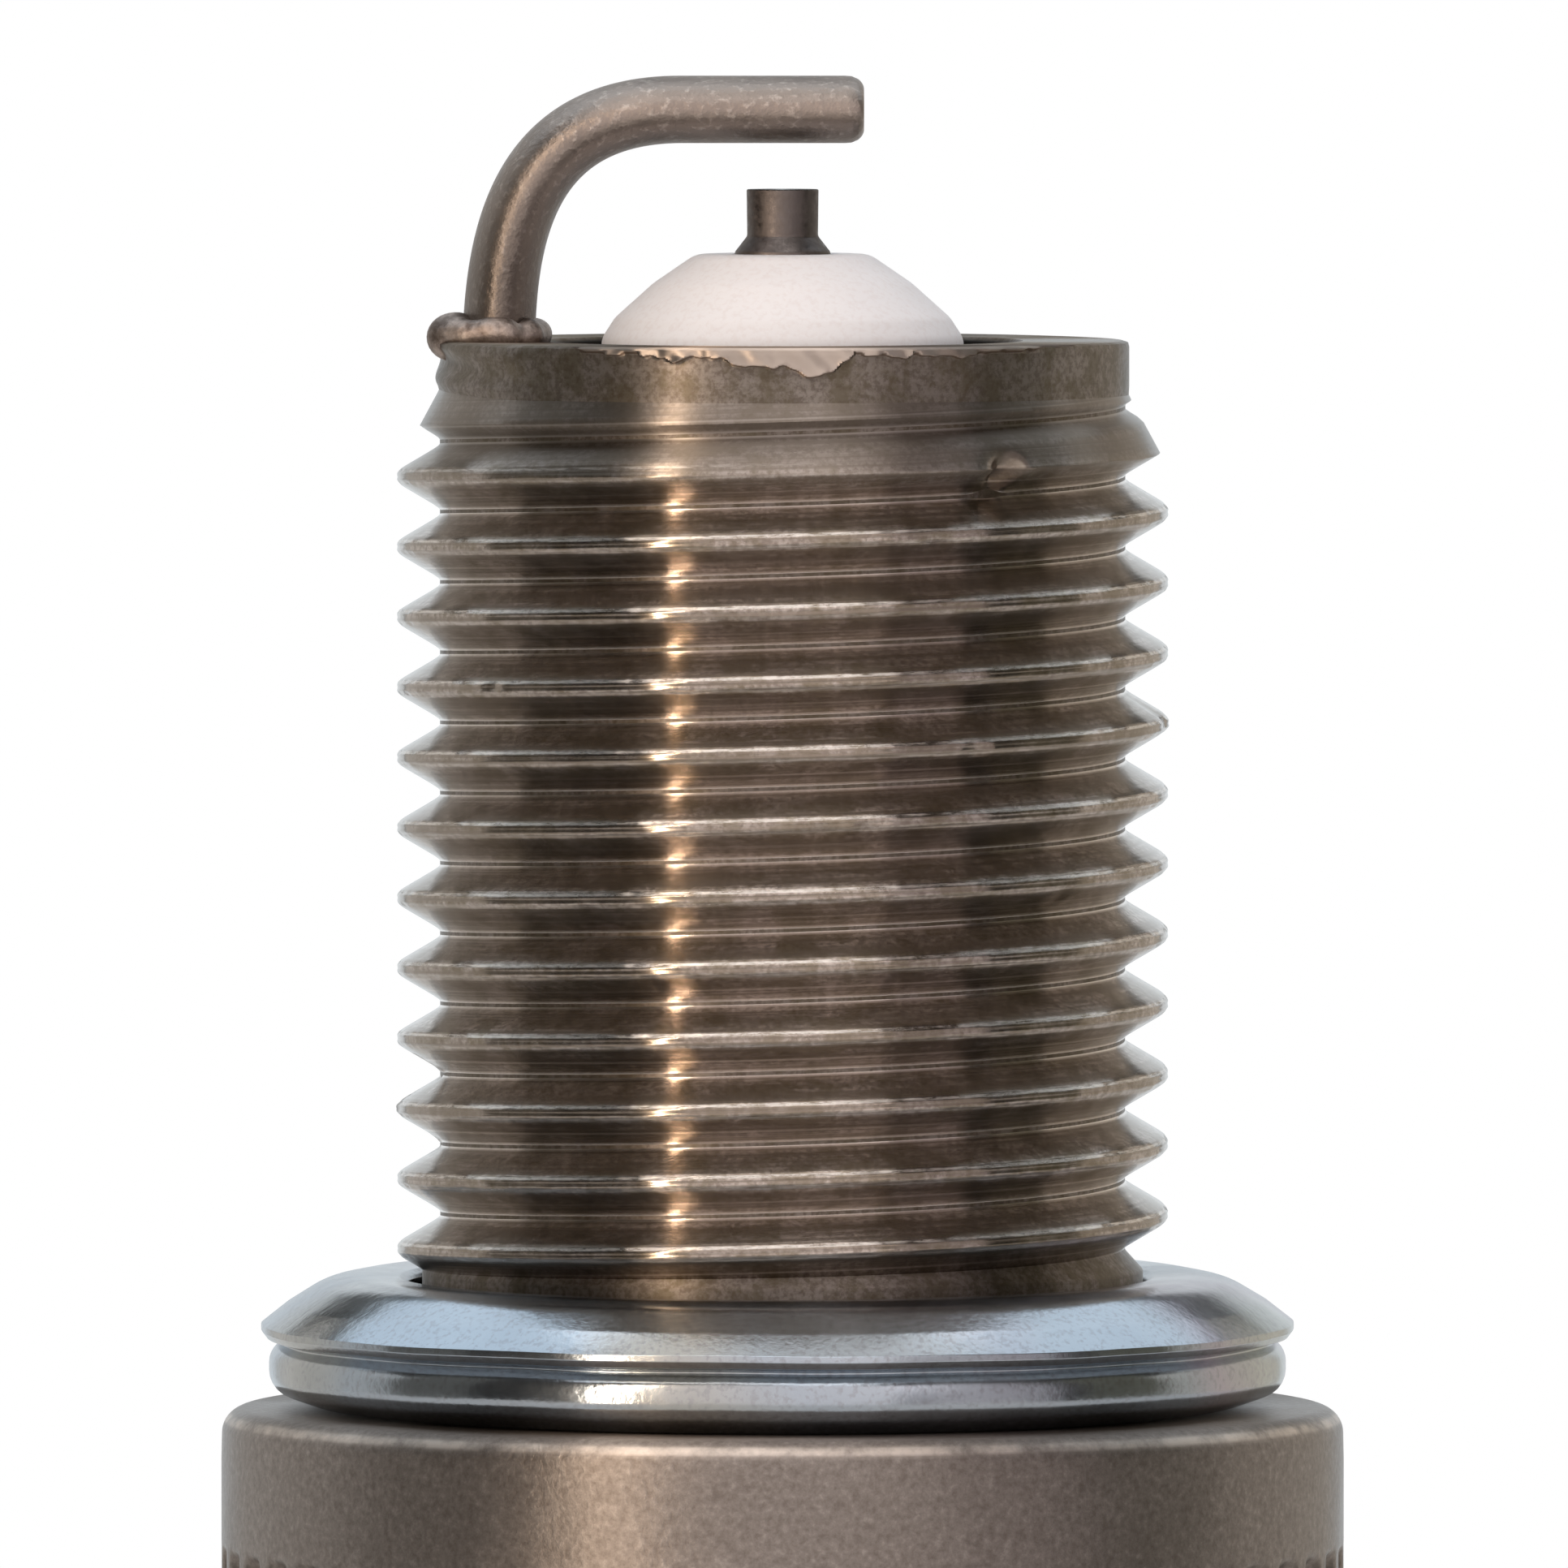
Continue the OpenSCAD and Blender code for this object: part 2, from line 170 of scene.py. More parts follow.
barrel_section = np.vstack([
    filleted([
        (neck_r, -0.3, 0), (neck_r, 2.45, 0.1), (root_r, 2.8, 0.1), (root_r, 17.9, 0.05),
        (pilot_r, 18.0, 0.05), (pilot_r, 18.2, 0),
    ]),
    np.stack([np.full(30, pilot_r), np.linspace(18.23, reach - 0.14, 30)], -1),
    filleted([
        (pilot_r, reach - 0.12, 0), (pilot_r - 0.02, reach - 0.03, 0.03), (pilot_r - 0.12, reach, 0.05),
        (bore_r + edge_break, reach, 0.03), (bore_r, reach - edge_break, 0.03), (bore_r, 4.0, 0),
        (4.9, 3.4, 0), (4.9, -0.3, 0),
    ]),
])
rim_columns = 900
shell_barrel = add_grid("shell_barrel", turned(barrel_section, rim_columns, smeared_rim), close_rows=True)
around = np.linspace(0, 2 * math.pi, rim_columns, endpoint=False)[None, :]
above = barrel_section[:, 1:] - reach + burr_depth(around)
on_wall = smooth_step((barrel_section[:, :1] - 5.95) / 0.1)
# Painted shade: this share marks the bore wall below the end face, to be darkened in colour where shade
# falls inside the bore
deep = smooth_step((bore_r + edge_break - barrel_section[:, :1]) / 0.05)
deep = deep * smooth_step((reach - barrel_section[:, 1:]) / 0.05)
mark(shell_barrel, "deep", np.repeat(deep, rim_columns, 1))
burr_share = smooth_step(above / 0.05 + 0.5) * on_wall * smooth_step(burr_depth(around) / 0.05)
mark(shell_barrel, "burr", burr_share)
mark(shell_barrel, "tongue", np.broadcast_to(bump_at(around, 0, (277.0, 0), (1.9, 1)), above.shape))
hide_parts("shell")


def thread_ridge(crest_r, valley_r, pitch, turns, zero_z, lead, steps, sunk, fade):
    """Rolled thread as one long ridge, carried along the helix z = pitch * turn. Its section has
    straight flanks, filleted roots and two lips with a shallow crease between them, as rolling
    leaves them. It fades in at the start and the lead-in cone cuts its top. turns is the first and
    last turn, zero_z the height at turn 0, lead the cone's height and slope, steps the points in
    a turn, sunk the depth of the underside below the valley, fade the first turn and its length."""
    half = np.array([
        0.5, 0.485, 0.465, 0.44, 0.4, 0.34, 0.27, 0.2,
        0.15, 0.125, 0.108, 0.092, 0.077, 0.06, 0.04, 0.02,
    ])
    across = np.concatenate([-half, [0], half[::-1]])
    line = (0.452 - np.abs(across)) / 0.362
    line = (line + np.sqrt(line ** 2 + 0.006)) / 2
    height = line / (1 + (line / 1.02) ** 16) ** (1 / 16)
    lips = np.exp(-((np.abs(across) - 0.085) / 0.03) ** 2)
    crease = np.exp(-(across / 0.03) ** 2)
    turn = np.arange(round(turns[0] * steps), round(turns[1] * steps) + 1) / steps
    a = (turn * 2 * math.pi)[:, None]
    z = zero_z + pitch * (turn[:, None] + across[None, :])
    start = smooth_step((turn - fade[0]) / fade[1])[:, None]
    cut = np.clip((lead[0] - z) * lead[1], 0, None) + valley_r
    fine_wave = np.sin(83 * a + 4 * np.sin(7.3 * a) + np.sign(across))
    ragged = 0.5 + 0.5 * fine_wave * np.sin(31 * a + 2 * np.sin(3.1 * a))
    depth = crest_r - valley_r
    ridge_r = valley_r - 0.015 + (depth + 0.015) * height[None, :] * start
    ridge_r = ridge_r + depth * start * (0.05 * lips * (ragged - 1) - 0.025 * crease)
    r = np.minimum(ridge_r, cut)
    top = lead[0] + 0.2
    z = np.where(z > top, top + (z - top) * 0.05, z)
    under = np.linspace(across[-1], across[0], 4)[1:-1]
    r = np.hstack([r, np.full((len(turn), 2), valley_r - sunk)])
    inner_z = zero_z + pitch * (turn[:, None] + under[None, :])
    z = np.hstack([z, np.where(inner_z > top, top + (inner_z - top) * 0.05, inner_z)])
    v = np.concatenate([across, across[:2] * 0 + 0.5])
    u, v = np.broadcast_arrays(turn[:, None], v[None, :])
    return a, r, z, u, v


def nicked(a, r, z):
    """Knocks that a loose plug gets in its crests: dents, each beside a smeared lip of metal."""
    for angle, height, depth, size in (
        (306, 16.8, 0.42, 0.25), (294, 15.55, 0.12, 0.14), (354, 12.3, 0.07, 0.3), (186, 6.1, 0.25, 0.16),
        (183, 4.8, 0.2, 0.16), (181, 5.4, 0.22, 0.16), (262, 14.2, 0.07, 0.12), (283, 10.6, 0.08, 0.12),
        (276, 10.55, 0.08, 0.12), (240, 9.1, 0.08, 0.12), (250, 7.8, 0.06, 0.1), (300, 11.9, 0.07, 0.14),
        (222, 13.0, 0.07, 0.1), (265, 5.3, 0.07, 0.12), (288, 7.8, 0.06, 0.1), (318, 9.3, 0.08, 0.12),
    ):
        r = r - depth * bump_at(a, z, (angle, height), (size, size))
        r = r + 0.25 * depth * bump_at(a, z, (angle + 14 * size, height - 0.3 * size), (size, 0.7 * size))
    return r


def set_uv(piece, u, v):
    """Gives every corner the (u, v) of its vertex, from whole arrays as large as the grid."""
    layer = piece.data.uv_layers.new(name="along")
    corner = np.empty(len(piece.data.loops), np.int32)
    piece.data.loops.foreach_get("vertex_index", corner)
    layer.uv.foreach_set("vector", np.stack([u.ravel(), v.ravel()], -1)[corner].astype(np.float32).ravel())


thread_parts = []
for name, turns in (("shell_thread_rear", (-1.0, 5.25)), ("shell_thread_front", (5.25, 12.25))):
    a, r, z, u, v = thread_ridge(
        thread_r, root_r, pitch, turns, zero_z=crest_right_z, lead=(reach - 0.85, lead_in_slope),
        steps=260, sunk=0.25, fade=(-0.98, 0.4),
    )
    r = np.where(r > root_r, nicked(a, r, z), r)
    part = add_grid(name, np.stack([r * np.cos(a), r * np.sin(a), z], -1)[:, ::-1], sharp=60)
    set_uv(part, u[:, ::-1], v[:, ::-1])
    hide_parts("shell")
    thread_parts.append(part)


def material(name, colour, roughness, metallic=1.0, anisotropy=0.0, specular=None):
    """A Principled material with its constants on its own sockets; patterns are linked in later."""
    made = bpy.data.materials.new(name)
    made.use_nodes = True
    shader = made.node_tree.nodes["Principled BSDF"]
    shader.inputs["Base Color"].default_value = (*colour, 1)
    shader.inputs["Roughness"].default_value = roughness
    shader.inputs["Metallic"].default_value = metallic
    shader.inputs["Anisotropic"].default_value = anisotropy
    if specular is not None:
        shader.inputs["Specular IOR Level"].default_value = specular
    made["shader"] = shader.name
    return made


def add_node(made, kind, **values):
    """A node of one material, with its sockets and settings filled in by name."""
    node = made.node_tree.nodes.new(kind)
    for key, value in values.items():
        key = key.replace("_", " ") if key[0].isupper() else key
        if key in node.inputs:
            target = node.inputs[key]
            if hasattr(value, "is_output"):
                made.node_tree.links.new(value, target)
            else:
                target.default_value = value
        else:
            setattr(node, key, value)
    return node


def noise(made, scale, stretch=(1, 1, 1), detail=3, roughness=0.55):
    """Noise on Object coordinates; scale is in cycles per metre and stretch squeezes the axes."""
    place = add_node(made, "ShaderNodeTexCoord").outputs["Object"]
    mapped = add_node(made, "ShaderNodeMapping", Vector=place, Scale=stretch).outputs["Vector"]
    texture = add_node(
        made, "ShaderNodeTexNoise", Vector=mapped, Scale=scale, Detail=detail, Roughness=roughness
    )
    return texture.outputs["Fac"]


def ramp(made, value, *stops):
    """Colour ramp of a value; each stop is (position, colour)."""
    node = add_node(made, "ShaderNodeValToRGB", Fac=value)
    bands = node.color_ramp.elements
    while len(bands) < len(stops):
        bands.new(0.5)
    for band, (position, colour) in zip(bands, stops):
        band.position = position
        band.color = (*colour, 1) if hasattr(colour, "__len__") else (colour, colour, colour, 1)
    return node.outputs["Color"]


def mix(made, share, one, other, blend="MIX"):
    """Colour mix of two colours, by a share from 0 to 1."""
    node = add_node(made, "ShaderNodeMix", data_type="RGBA", blend_type=blend)
    for socket, value in ((node.inputs[0], share), (node.inputs[6], one), (node.inputs[7], other)):
        if hasattr(value, "is_output"):
            made.node_tree.links.new(value, socket)
        elif hasattr(value, "__len__"):
            socket.default_value = (*value, 1)
        else:
            socket.default_value = value
    return node.outputs[2]


def shader_input(made, name, value):
    """Links a pattern to one socket of the material's shader."""
    made.node_tree.links.new(value, made.node_tree.nodes[made["shader"]].inputs[name])


def bump(made, *layers):
    """Bump from heights in metres: each layer is (height socket, depth in metres)."""
    normal = None
    for height, depth in layers:
        node = add_node(made, "ShaderNodeBump", Height=height, Strength=1.0, Distance=depth)
        if normal is not None:
            made.node_tree.links.new(normal, node.inputs["Normal"])
        normal = node.outputs["Normal"]
    shader_input(made, "Normal", normal)


def radius(made):
    """Distance from the plug's axis in metres, from Object coordinates."""
    place = add_node(made, "ShaderNodeTexCoord").outputs["Object"]
    flat = add_node(made, "ShaderNodeVectorMath", operation="MULTIPLY")
    made.node_tree.links.new(place, flat.inputs[0])
    flat.inputs[1].default_value = (1, 1, 0)
    length = add_node(made, "ShaderNodeVectorMath", operation="LENGTH")
    made.node_tree.links.new(flat.outputs[0], length.inputs[0])
    return length.outputs["Value"]


def height_of(made):
    """Height above the gasket seat in metres, from Object coordinates."""
    place = add_node(made, "ShaderNodeTexCoord").outputs["Object"]
    return add_node(made, "ShaderNodeSeparateXYZ", Vector=place).outputs["Z"]


def turning_tangent(made):
    """Turns the anisotropy so that highlights stretch across marks that run round the plug's axis."""
    place = add_node(made, "ShaderNodeTexCoord").outputs["Object"]
    around = add_node(made, "ShaderNodeVectorMath", operation="CROSS_PRODUCT")
    around.inputs[0].default_value = (0, 0, 1)
    made.node_tree.links.new(place, around.inputs[1])
    to_world = add_node(
        made, "ShaderNodeVectorTransform", vector_type="VECTOR", convert_from="OBJECT", convert_to="WORLD"
    )
    made.node_tree.links.new(around.outputs["Vector"], to_world.inputs[0])
    shader_input(made, "Tangent", to_world.outputs[0])
    made.node_tree.nodes[made["shader"]].inputs["Anisotropic Rotation"].default_value = 0.25


def maths(made, operation, *values):
    """One arithmetic step on sockets or numbers."""
    node = add_node(made, "ShaderNodeMath", operation=operation)
    for socket, value in zip(node.inputs, values):
        if hasattr(value, "is_output"):
            made.node_tree.links.new(value, socket)
        else:
            socket.default_value = value
    return node.outputs[0]


def nickel_plate(name, roughness, dark, light):
    """Nickel plate on turned steel: clouded, with fine dark turning marks and specks of dirt."""
    made = material(name, light, roughness, anisotropy=1.0)
    turning_tangent(made)
    cloud = noise(made, 420, detail=4)
    lines = noise(made, 700, stretch=(0.06, 0.06, 14), detail=5, roughness=0.7)
    specks = noise(made, 9000, detail=5, roughness=0.65)
    plate = mix(made, cloud, dark, light)
    plate = mix(made, ramp(made, lines, (0.4, 0.0), (0.66, 0.4)), plate, (0.26, 0.22, 0.19))
    plate = mix(made, ramp(made, specks, (0.40, 0.65), (0.56, 0.0)), plate, (0.17, 0.13, 0.105))
    stain = ramp(made, noise(made, 1300, detail=5, roughness=0.7), (0.44, 0.0), (0.58, 0.65))
    plate = mix(made, stain, plate, (0.17, 0.135, 0.085))
    rough = ramp(made, cloud, (0.3, roughness * 0.9), (0.7, roughness * 1.15))
    return made, plate, rough, lines, specks


nickel, plate, rough, lines, specks = nickel_plate(
    "nickel_plate", 0.56, (0.24, 0.205, 0.175), (0.52, 0.455, 0.405)
)
burred = add_node(nickel, "ShaderNodeAttribute", attribute_name="burr").outputs["Fac"]
tongue = add_node(nickel, "ShaderNodeAttribute", attribute_name="tongue").outputs["Fac"]
smeared = mix(nickel, noise(nickel, 2600, detail=4), (0.20, 0.15, 0.12), (0.58, 0.49, 0.42))
burr_metal = mix(nickel, tongue, smeared, (0.60, 0.505, 0.44))
# Painted shadow: a dark brown band along the burr's wavy lower edge, where the lip overhangs the wall
burr_edge_shadow = ramp(nickel, burred, (0.08, 0.0), (0.3, 0.8), (0.62, 0.8), (0.85, 0.0))
plate_with_burr_shadow = mix(nickel, burr_edge_shadow, mix(nickel, burred, plate, burr_metal), (0.10, 0.065, 0.045))
# Painted shade: the bore wall is darkened almost to black by this share
bore_shade_share = add_node(nickel, "ShaderNodeAttribute", attribute_name="deep").outputs["Fac"]
shader_input(nickel, "Base Color", mix(nickel, bore_shade_share, plate_with_burr_shadow, (0.03, 0.024, 0.02)))
shader_input(nickel, "Roughness", mix(nickel, burred, rough, (0.5, 0.5, 0.5)))
bump(nickel, (lines, 0.000003), (specks, 0.000001))

# The thread's finish, with its painted highlights, follows the helix: u counts turns and v is the place
# across the ridge
rolled, plate, rough = nickel_plate(
    "rolled_nickel", 0.22, (0.37, 0.325, 0.295), (0.60, 0.525, 0.475)
)[:3]
uv = add_node(rolled, "ShaderNodeUVMap", uv_map="along").outputs[0]
apart = add_node(rolled, "ShaderNodeSeparateXYZ", Vector=uv)
side = maths(rolled, "ABSOLUTE", apart.outputs["Y"])
streak_uv = add_node(rolled, "ShaderNodeMapping", Vector=uv, Scale=(0.7, 9, 1)).outputs[0]
streaks = add_node(rolled, "ShaderNodeTexNoise", Vector=streak_uv, Scale=2.0, Detail=2, Roughness=0.5)
streaks = streaks.outputs["Fac"]
chip_uv = add_node(rolled, "ShaderNodeMapping", Vector=uv, Scale=(50, 10, 1)).outputs[0]
chips = add_node(rolled, "ShaderNodeTexNoise", Vector=chip_uv, Scale=2.0, Detail=4, Roughness=0.75)
chips = chips.outputs["Fac"]
high = add_node(rolled, "ShaderNodeMapRange", Value=radius(rolled))
high.inputs["From Min"].default_value = (thread_r - 0.16) * MM
high.inputs["From Max"].default_value = (thread_r - 0.08) * MM
# The crest's lips are light where rubbed and chipped, which is wear; keeping the light band mostly to the
# upper lip is a painted highlight
upper = ramp(rolled, apart.outputs["Y"], (0.0, 0.25), (0.02, 1.0))
lip_band = ramp(rolled, side, (0.055, 0.0), (0.072, 1.0), (0.092, 1.0), (0.105, 0.0))
on_lip = maths(rolled, "MULTIPLY", upper, lip_band)
lip_wear_and_highlight = maths(rolled, "MULTIPLY", on_lip, ramp(rolled, chips, (0.38, 0.0), (0.6, 0.8)))
lip_wear_and_highlight = maths(rolled, "MULTIPLY", lip_wear_and_highlight, high.outputs["Result"])
# Painted highlight: a light band in the thread's root, where its rounding catches light
root_highlight = ramp(rolled, side, (0.43, 0.0), (0.455, 0.7), (0.5, 0.85))
# Painted highlight: a light line along the lower flank, broken up by the streaks
flank_line = maths(rolled, "ABSOLUTE", maths(rolled, "ADD", apart.outputs["Y"], 0.30))
flank_highlight = ramp(rolled, flank_line, (0.006, 0.5), (0.022, 0.0))
flank_highlight_share = maths(rolled, "MULTIPLY", flank_highlight, ramp(rolled, streaks, (0.4, 0.2), (0.6, 1.0)))
highlight_tone = (0.84, 0.77, 0.72)
colour = mix(rolled, ramp(rolled, streaks, (0.38, 0.8), (0.6, 0.0)), plate, (0.23, 0.19, 0.155))
colour = mix(rolled, root_highlight, colour, highlight_tone)
colour = mix(rolled, flank_highlight_share, colour, highlight_tone)
colour = mix(rolled, lip_wear_and_highlight, colour, (0.95, 0.88, 0.82))
cone = add_node(rolled, "ShaderNodeMapRange", Value=height_of(rolled))
cone.inputs["From Min"].default_value = (reach - 2.5) * MM
cone.inputs["From Max"].default_value = (reach - 1.9) * MM
cone_share = maths(rolled, "MULTIPLY", cone.outputs["Result"], 0.6)
shader_input(rolled, "Base Color", mix(rolled, cone_share, colour, (0.20, 0.17, 0.145)))
scuffed = (0.42, 0.42, 0.42)
rough = mix(rolled, cone.outputs["Result"], rough, scuffed)
shader_input(rolled, "Roughness", mix(rolled, lip_wear_and_highlight, rough, scuffed))
bump(rolled, (streaks, 0.000012))

shell_barrel.data.materials.append(nickel)
for part in thread_parts:
    part.data.materials.append(rolled)
for piece in (shell_barrel, *thread_parts):
    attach(piece, "plug")

# ---------------------------------------------------------------------------------------------
# Shell, collar: the broad ring whose top is the gasket seat, with a knurled band round it.
# The knurl is rolled in, so its grooves end softly.
# ---------------------------------------------------------------------------------------------
collar_r = 10.0
knurl_top = -2.4
knurl_bottom = -6.0
knurl_count = 54
knurl_depth = 0.34
groove_share = 0.62
hex_top = -7.2


def knurled(a, r, z):
    """Grooves of the knurl: a V-shaped wave round the band, fading out at its upper and lower edge."""
    wave = np.abs((a * knurl_count / (2 * math.pi) + 0.5) % 1 - 0.5) * 2
    groove = np.clip(1 - wave / groove_share, 0, 1) ** 0.8
    inside = smooth_step((knurl_top - z) / 0.3) * smooth_step((z - knurl_bottom) / 0.3)
    on_rim = smooth_step((r - collar_r + 0.6) / 0.3)
    return r - knurl_depth * groove * inside * on_rim, z


knurl_rows = np.concatenate([
    knurl_top - np.array([-0.05, 0.03, 0.1, 0.18, 0.27, 0.36]), [-3.2, -4.2, -5.2],
    knurl_bottom + np.array([0.36, 0.27, 0.18, 0.1, 0.03, -0.05]),
])
collar_section = np.vstack([
    filleted([(5.0, -0.02, 0), (5.0, 0.0, 0), (collar_r - 0.02, 0.0, 0.45), (collar_r, -0.9, 0)], 12),
    np.stack([np.full(len(knurl_rows), collar_r), knurl_rows], -1),
    filleted([
        (collar_r, -6.1, 0), (collar_r, -6.35, 0.12), (collar_r - 0.5, -6.65, 0.1),
        (collar_r - 0.5, hex_top - 0.2, 0), (5.0, hex_top - 0.2, 0),
    ]),
])
collar_columns = knurl_count * 14
collar_points = turned(collar_section, collar_columns, knurled)[:, ::-1]
shell_collar = add_grid("shell_collar", collar_points, close_rows=True)
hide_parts("shell")
# The collar's top rounding is marked for a painted highlight: a light band in its colour
rounding = smooth_step((collar_section[:, :1] - (collar_r - 0.22)) / 0.1)
rounding = rounding * smooth_step((collar_section[:, 1:] + 0.3) / 0.1)
mark(shell_collar, "worn", np.repeat(rounding, collar_columns, 1)[:, ::-1])

# Satin plate of the outside: barrel-plated, so it is clouded and finely pitted instead of lined
satin = material("satin_nickel", (0.34, 0.3, 0.27), 0.45, anisotropy=0.85)
turning_tangent(satin)
satin_cloud = noise(satin, 380, detail=5, roughness=0.65)
satin_pits = noise(satin, 7000, detail=5, roughness=0.7)
satin_colour = mix(satin, satin_cloud, (0.18, 0.155, 0.138), (0.315, 0.275, 0.25))
dark_pits = ramp(satin, satin_pits, (0.35, 0.55), (0.55, 0.0))
satin_colour = mix(satin, dark_pits, satin_colour, (0.13, 0.105, 0.09))
sparkle = ramp(satin, satin_pits, (0.56, 0.0), (0.7, 0.3))
satin_colour = mix(satin, sparkle, satin_colour, (0.5, 0.45, 0.41))
# Painted highlight: the collar's top rounding is lightened in a ragged band broken up by noise
worn = add_node(satin, "ShaderNodeAttribute", attribute_name="worn").outputs["Fac"]
highlight_breakup = ramp(satin, noise(satin, 1100, detail=5, roughness=0.65), (0.36, 0.1), (0.6, 0.85))
rim_highlight_share = maths(satin, "MULTIPLY", worn, highlight_breakup)
shader_input(satin, "Base Color", mix(satin, rim_highlight_share, satin_colour, (0.72, 0.63, 0.56)))
shader_input(satin, "Roughness", ramp(satin, satin_cloud, (0.3, 0.42), (0.7, 0.52)))
bump(satin, (satin_cloud, 0.000012), (satin_pits, 0.000006))
shell_collar.data.materials.append(satin)
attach(shell_collar, "plug")

# ---------------------------------------------------------------------------------------------
# Shell, wrench end: the 20.8 mm hexagon, the thin waist that was heated and upset to pull the
# shell tight, and the lip that was rolled in over the packing.
# ---------------------------------------------------------------------------------------------
hex_af = 20.8
hex_bottom = -15.7
hex_power = 90
chamfer_power = 120.0
chamfer_slope = 2.0
waist_r = 7.6
crimp_r = 8.1
lip_z = -18.2


def hexagonal(a, r, z):
    """Hexagon with rounded corners: the radius is the p-norm of the six face distances, cut by the
    chamfer cone above and below in the same soft way."""
    toward = [np.clip(np.cos(a - math.radians(30 + 60 * k)), 0, None) for k in range(6)]
    faces = sum(cosine ** hex_power for cosine in toward) ** (1 / hex_power)
    flat_r = hex_af / 2 / faces
    cone = hex_af / 2 - 0.1 + np.minimum(hex_top - z, z - hex_bottom) * chamfer_slope
    both = (flat_r ** -chamfer_power + np.clip(cone, 1, None) ** -chamfer_power) ** (-1 / chamfer_power)
    in_hex = (z < hex_top + 0.001) & (z > hex_bottom - 0.001) & (r > hex_af / 2 - 0.6)
    return np.where(in_hex, both, r), z


chamfer_rows = np.linspace(0, 1.15, 14)
hex_rows = np.concatenate([hex_top - chamfer_rows, [-9.5, -11.5, -13.5], (hex_bottom + chamfer_rows)[::-1]])
wrench_section = np.vstack([
    [(6.5, hex_top)],
    np.stack([np.full(len(hex_rows), hex_af / 2), hex_rows], -1),
    filleted([
        (collar_r - 0.6, hex_bottom, 0), (waist_r + 0.1, hex_bottom - 0.1, 0.3),
        (waist_r, lip_z + 1.3, 0.3), (crimp_r, lip_z + 1.0, 0.35), (crimp_r, lip_z + 0.1, 0.7),
        (crimp_r - 1.5, lip_z - 1.0, 0.5),
        (5.4, lip_z - 1.0, 0.15), (5.4, lip_z, 0.1), (6.5, lip_z, 0),
    ], 6),
])
shell_hexagon = add_grid("shell_hexagon", turned(wrench_section, 480, hexagonal)[:, ::-1], close_rows=True)
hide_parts("shell")
shell_hexagon.data.materials.append(satin)
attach(shell_hexagon, "plug")

# ---------------------------------------------------------------------------------------------
# Gasket: a ring folded from thin zinc-plated sheet. It is screwed over the thread's end and then
# hangs loose in the neck, a little off centre. Its fold is squashed only once, by tightening.
# ---------------------------------------------------------------------------------------------
gasket_off_centre = 0.1
gasket_section = filleted([
    (8.4, 0.36, 0), (6.95, 0.34, 0.05), (6.95, 0.1, 0.08), (8.25, 0.08, 0.6), (9.05, 0.36, 0.42),
    (9.05, 1.04, 0.4), (8.78, 1.19, 0.03), (9.1, 1.27, 0.03), (9.19, 1.39, 0.03), (9.19, 1.5, 0.03),
    (8.72, 1.87, 0.8), (8.1, 2.25, 1.2), (7.45, 2.38, 1.5), (6.72, 2.34, 0.1), (6.55, 2.24, 0.1),
    (6.58, 2.04, 0.06), (7.7, 2.08, 0.3), (8.3, 1.66, 0.3), (8.62, 1.15, 0.1), (8.68, 0.72, 0.2),
    (8.4, 0.38, 0),
], 5)


def loose_ring(a, r, z):
    """Slightly oval and wavy, as pressed sheet is, with the rim waving more than the bore. The whole
    ring leans, rising by a small share of the radius towards the far side."""
    rim = smooth_step((r - 7.5) / 1.6)
    r = r + 0.012 * np.cos(2 * a + 0.5) + 0.01 * rim * np.sin(9 * a + 1) + 0.005 * rim * np.sin(31 * a)
    z = z + 0.007 * r * np.sin(a)
    return r, z + 0.014 * rim * np.sin(3 * a + 0.8) + 0.006 * rim * np.sin(14 * a)


gasket_points = turned(gasket_section, 420, loose_ring)
gasket_points[..., 0] -= gasket_off_centre
gasket_ring = add_grid("gasket_ring", gasket_points, close_rows=True, sharp=50)
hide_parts("gasket")

zinc = material("zinc_plate", (0.5, 0.53, 0.56), 0.2)
zinc_cloud = noise(zinc, 300, detail=4)
zinc_tint = noise(zinc, 150, stretch=(1, 1, 0.6), detail=1)
zinc_grain = noise(zinc, 9000, detail=4)
zinc_plate = mix(zinc, zinc_cloud, (0.29, 0.31, 0.335), (0.50, 0.53, 0.56))
film = ramp(
    zinc, zinc_tint, (0.3, (0.95, 0.90, 0.80)), (0.42, (0.86, 0.93, 1.0)), (0.56, (0.9, 0.95, 1.0)),
    (0.66, (1.0, 0.84, 0.88)), (0.74, (0.97, 0.95, 0.82)),
)
zinc_colour = mix(zinc, 0.8, zinc_plate, film, "MULTIPLY")
zinc_colour = mix(zinc, ramp(zinc, zinc_grain, (0.36, 0.4), (0.5, 0.0)), zinc_colour, (0.24, 0.24, 0.26))
shader_input(zinc, "Base Color", zinc_colour)
shader_input(zinc, "Roughness", ramp(zinc, zinc_cloud, (0.35, 0.16), (0.65, 0.26)))
bump(zinc, (zinc_cloud, 0.000012), (noise(zinc, 1600, detail=4), 0.000008), (zinc_grain, 0.000003))
gasket_ring.data.materials.append(zinc)
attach(gasket_ring, "gasket_ring")

# ---------------------------------------------------------------------------------------------
# Ground electrode: nickel-alloy strip with rounded edges, resistance welded to the end face and
# then bent over the centre electrode to set the gap.
# ---------------------------------------------------------------------------------------------
strap_low, strap_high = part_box("ground_electrode")
strap_w = (strap_high[1] - strap_low[1]) / MM
strap_top_z = strap_high[2] / MM
strap_tip_x = strap_high[0] / MM
foot_t = 1.3
tip_t = 1.2
leg_x = -5.05


